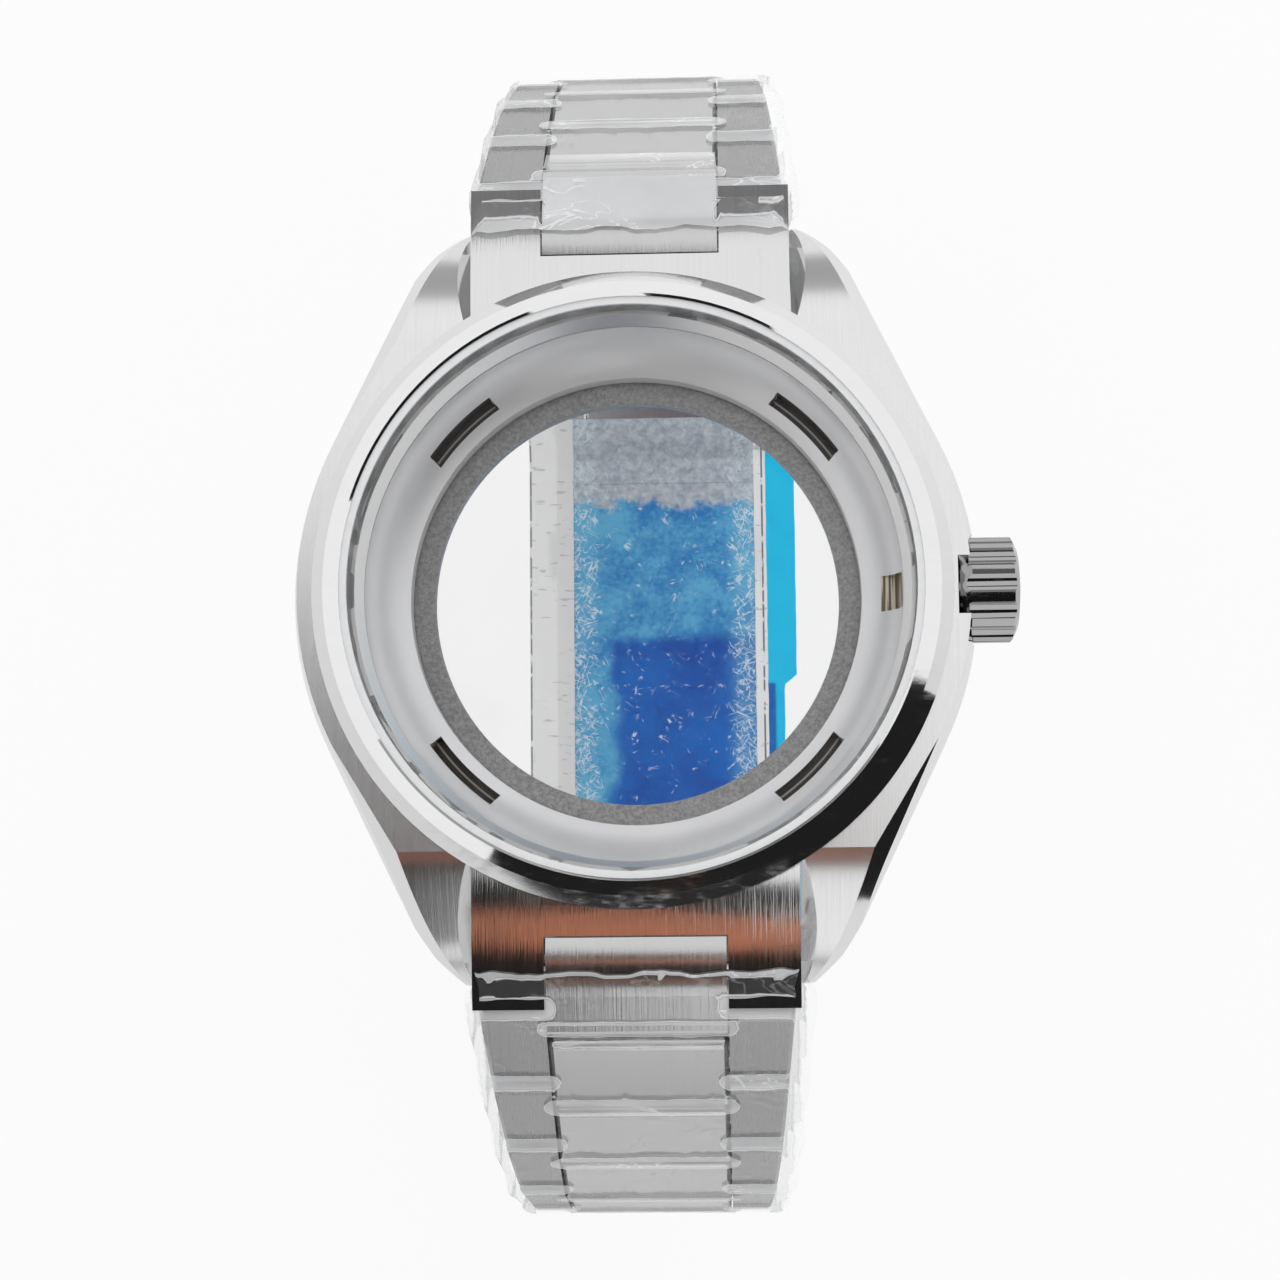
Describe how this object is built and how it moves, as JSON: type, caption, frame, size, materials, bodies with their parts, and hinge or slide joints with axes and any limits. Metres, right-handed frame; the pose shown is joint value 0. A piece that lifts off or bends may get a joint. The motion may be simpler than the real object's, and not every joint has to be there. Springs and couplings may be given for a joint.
{
  "type": "watch case with link bracelet",
  "caption": "Round steel watch case without dial or movement, with see-through back, crown and a fitted three-row link bracelet with a folding clasp.",
  "frame": {"origin": "middle of the bore that seats the movement", "axes": "+Z out through the crystal, +Y to 12 o'clock, +X to the crown"},
  "size_m": [0.0457, 0.081, 0.0506],
  "materials": {
    "case_steel": "satin steel with polished bevels",
    "bezel_steel": "polished steel",
    "front_glass": "clear flat crystal",
    "white_gasket": "white nylon",
    "holder_steel": "pale satin metal",
    "tube_steel": "turned steel",
    "black_rubber": "smooth rubber",
    "crown_steel": "polished steel",
    "back_steel": "fine blasted steel inside, satin outside",
    "back_glass": "clear flat glass",
    "end_link_steel": "satin steel",
    "centre_link_steel": "satin steel with polished edges",
    "side_link_steel": "satin steel with polished edges",
    "bar_steel": "turned steel",
    "clasp_steel": "satin steel",
    "button_steel": "polished steel",
    "blue_film": "thin blue protective film"
  },
  "bodies": {
    "case": {"case_middle": "case_steel", "bezel": "bezel_steel", "crystal": "front_glass", "crystal_gasket": "white_gasket", "movement_holder": "holder_steel", "crown_tube": "tube_steel", "end_link_12": "end_link_steel", "end_link_6": "end_link_steel", "end_centre_12": "centre_link_steel", "end_centre_6": "centre_link_steel", "lug_spring_bars": "bar_steel"},
    "crown_seal": {"crown_gasket": "black_rubber"},
    "crown": {"crown": "crown_steel"},
    "case_back": {"back_ring": "back_steel", "back_crystal": "back_glass", "back_crystal_gasket": "white_gasket", "back_gasket": "black_rubber"},
    "unit_12_1": {"sides_12_1": "side_link_steel", "link_12_1": "centre_link_steel"},
    "unit_12_2": {"sides_12_2": "side_link_steel", "link_12_2": "centre_link_steel"},
    "unit_12_3": {"sides_12_3": "side_link_steel", "link_12_3": "centre_link_steel"},
    "unit_12_4": {"sides_12_4": "side_link_steel", "link_12_4": "centre_link_steel"},
    "unit_12_5": {"sides_12_5": "side_link_steel", "link_12_5": "centre_link_steel"},
    "unit_12_6": {"sides_12_6": "side_link_steel", "link_12_6": "centre_link_steel"},
    "unit_12_7": {"sides_12_7": "side_link_steel", "link_12_7": "centre_link_steel"},
    "unit_12_8": {"sides_12_8": "side_link_steel", "link_12_8": "centre_link_steel"},
    "unit_12_9": {"sides_12_9": "side_link_steel", "link_12_9": "centre_link_steel"},
    "unit_6_1": {"sides_6_1": "side_link_steel", "link_6_1": "centre_link_steel"},
    "unit_6_2": {"sides_6_2": "side_link_steel", "link_6_2": "centre_link_steel"},
    "unit_6_3": {"sides_6_3": "side_link_steel", "link_6_3": "centre_link_steel"},
    "unit_6_4": {"sides_6_4": "side_link_steel", "link_6_4": "centre_link_steel"},
    "unit_6_5": {"sides_6_5": "side_link_steel", "link_6_5": "centre_link_steel"},
    "unit_6_6": {"sides_6_6": "side_link_steel", "link_6_6": "centre_link_steel"},
    "unit_6_7": {"sides_6_7": "side_link_steel", "link_6_7": "centre_link_steel"},
    "unit_6_8": {"sides_6_8": "side_link_steel", "link_6_8": "centre_link_steel"},
    "unit_6_9": {"sides_6_9": "side_link_steel", "link_6_9": "centre_link_steel"},
    "clasp_shell": {"clasp_shell": "clasp_steel"},
    "blade_1": {"blade_1": "clasp_steel"},
    "blade_2": {"blade_2": "clasp_steel", "blade_film": "blue_film"},
    "button_3": {"button_3": "button_steel"},
    "button_9": {"button_9": "button_steel"}
  },
  "joints": [
    {"name": "crown_pull", "type": "slide", "parent": "case", "child": "crown_seal", "axis": [1, 0, 0], "range_m": [0, 0.0015]},
    {"name": "crown_turn", "type": "hinge", "parent": "crown_seal", "child": "crown", "pos_m": [0.0202, 0, 0.0025], "axis": [1, 0, 0], "continuous": true},
    {"name": "case_back_off", "type": "slide", "parent": "case", "child": "case_back", "axis": [0, 0, -1], "range_m": [0, 0.012]},
    {"name": "link_12_1_hinge", "type": "hinge", "parent": "case", "child": "unit_12_1", "pos_m": [0, 0.0254, 0.003], "axis": [-1, 0, 0], "range_deg": [-29, 0]},
    {"name": "link_12_2_hinge", "type": "hinge", "parent": "unit_12_1", "child": "unit_12_2", "pos_m": [0, 0.02993, -0.00153], "axis": [-1, 0, 0], "range_deg": [-10, 0]},
    {"name": "link_12_3_hinge", "type": "hinge", "parent": "unit_12_2", "child": "unit_12_3", "pos_m": [0, 0.03395, -0.0065], "axis": [-1, 0, 0], "range_deg": [-14, 0]},
    {"name": "link_12_4_hinge", "type": "hinge", "parent": "unit_12_3", "child": "unit_12_4", "pos_m": [0, 0.03706, -0.0121], "axis": [-1, 0, 0], "range_deg": [-18, 0]},
    {"name": "link_12_5_hinge", "type": "hinge", "parent": "unit_12_4", "child": "unit_12_5", "pos_m": [0, 0.03871, -0.01828], "axis": [-1, 0, 0], "range_deg": [-21, 0]},
    {"name": "link_12_6_hinge", "type": "hinge", "parent": "unit_12_5", "child": "unit_12_6", "pos_m": [0, 0.03849, -0.02467], "axis": [-1, 0, 0], "range_deg": [-24, 0]},
    {"name": "link_12_7_hinge", "type": "hinge", "parent": "unit_12_6", "child": "unit_12_7", "pos_m": [0, 0.03609, -0.03061], "axis": [-1, 0, 0], "range_deg": [-25, 0]},
    {"name": "link_12_8_hinge", "type": "hinge", "parent": "unit_12_7", "child": "unit_12_8", "pos_m": [0, 0.03173, -0.03529], "axis": [-1, 0, 0], "range_deg": [-23, 0]},
    {"name": "link_12_9_hinge", "type": "hinge", "parent": "unit_12_8", "child": "unit_12_9", "pos_m": [0, 0.02608, -0.03829], "axis": [-1, 0, 0], "range_deg": [-20, 0]},
    {"name": "link_6_1_hinge", "type": "hinge", "parent": "case", "child": "unit_6_1", "pos_m": [0, -0.0254, 0.003], "axis": [1, 0, 0], "range_deg": [-29, 0]},
    {"name": "link_6_2_hinge", "type": "hinge", "parent": "unit_6_1", "child": "unit_6_2", "pos_m": [0, -0.02993, -0.00153], "axis": [1, 0, 0], "range_deg": [-10, 0]},
    {"name": "link_6_3_hinge", "type": "hinge", "parent": "unit_6_2", "child": "unit_6_3", "pos_m": [0, -0.03395, -0.0065], "axis": [1, 0, 0], "range_deg": [-14, 0]},
    {"name": "link_6_4_hinge", "type": "hinge", "parent": "unit_6_3", "child": "unit_6_4", "pos_m": [0, -0.03706, -0.0121], "axis": [1, 0, 0], "range_deg": [-18, 0]},
    {"name": "link_6_5_hinge", "type": "hinge", "parent": "unit_6_4", "child": "unit_6_5", "pos_m": [0, -0.03871, -0.01828], "axis": [1, 0, 0], "range_deg": [-21, 0]},
    {"name": "link_6_6_hinge", "type": "hinge", "parent": "unit_6_5", "child": "unit_6_6", "pos_m": [0, -0.03849, -0.02467], "axis": [1, 0, 0], "range_deg": [-24, 0]},
    {"name": "link_6_7_hinge", "type": "hinge", "parent": "unit_6_6", "child": "unit_6_7", "pos_m": [0, -0.03609, -0.03061], "axis": [1, 0, 0], "range_deg": [-25, 0]},
    {"name": "link_6_8_hinge", "type": "hinge", "parent": "unit_6_7", "child": "unit_6_8", "pos_m": [0, -0.03173, -0.03529], "axis": [1, 0, 0], "range_deg": [-23, 0]},
    {"name": "link_6_9_hinge", "type": "hinge", "parent": "unit_6_8", "child": "unit_6_9", "pos_m": [0, -0.02608, -0.03829], "axis": [1, 0, 0], "range_deg": [-20, 0]},
    {"name": "clasp_hinge", "type": "hinge", "parent": "unit_12_9", "child": "clasp_shell", "pos_m": [0, 0.01982, -0.03963], "axis": [-1, 0, 0], "range_deg": [-16, 0]},
    {"name": "blade1_fold", "type": "hinge", "parent": "clasp_shell", "child": "blade_1", "pos_m": [0, -0.01482, -0.04057], "axis": [-1, 0, 0], "range_deg": [-60, 0]},
    {"name": "blade2_fold", "type": "hinge", "parent": "blade_1", "child": "blade_2", "pos_m": [0, 0.01482, -0.04], "axis": [1, 0, 0], "range_deg": [-45, 0]},
    {"name": "button_3_press", "type": "slide", "parent": "clasp_shell", "child": "button_3", "axis": [-1, 0, 0], "range_m": [0, 0.0005], "stiffness_N_per_m": 2000, "springref_m": -0.0003},
    {"name": "button_9_press", "type": "slide", "parent": "clasp_shell", "child": "button_9", "axis": [1, 0, 0], "range_m": [0, 0.0005], "stiffness_N_per_m": 2000, "springref_m": -0.0003}
  ],
  "couplings": [
    {"joint": "blade2_fold", "follows": "blade1_fold", "ratio": 0.75}
  ]
}
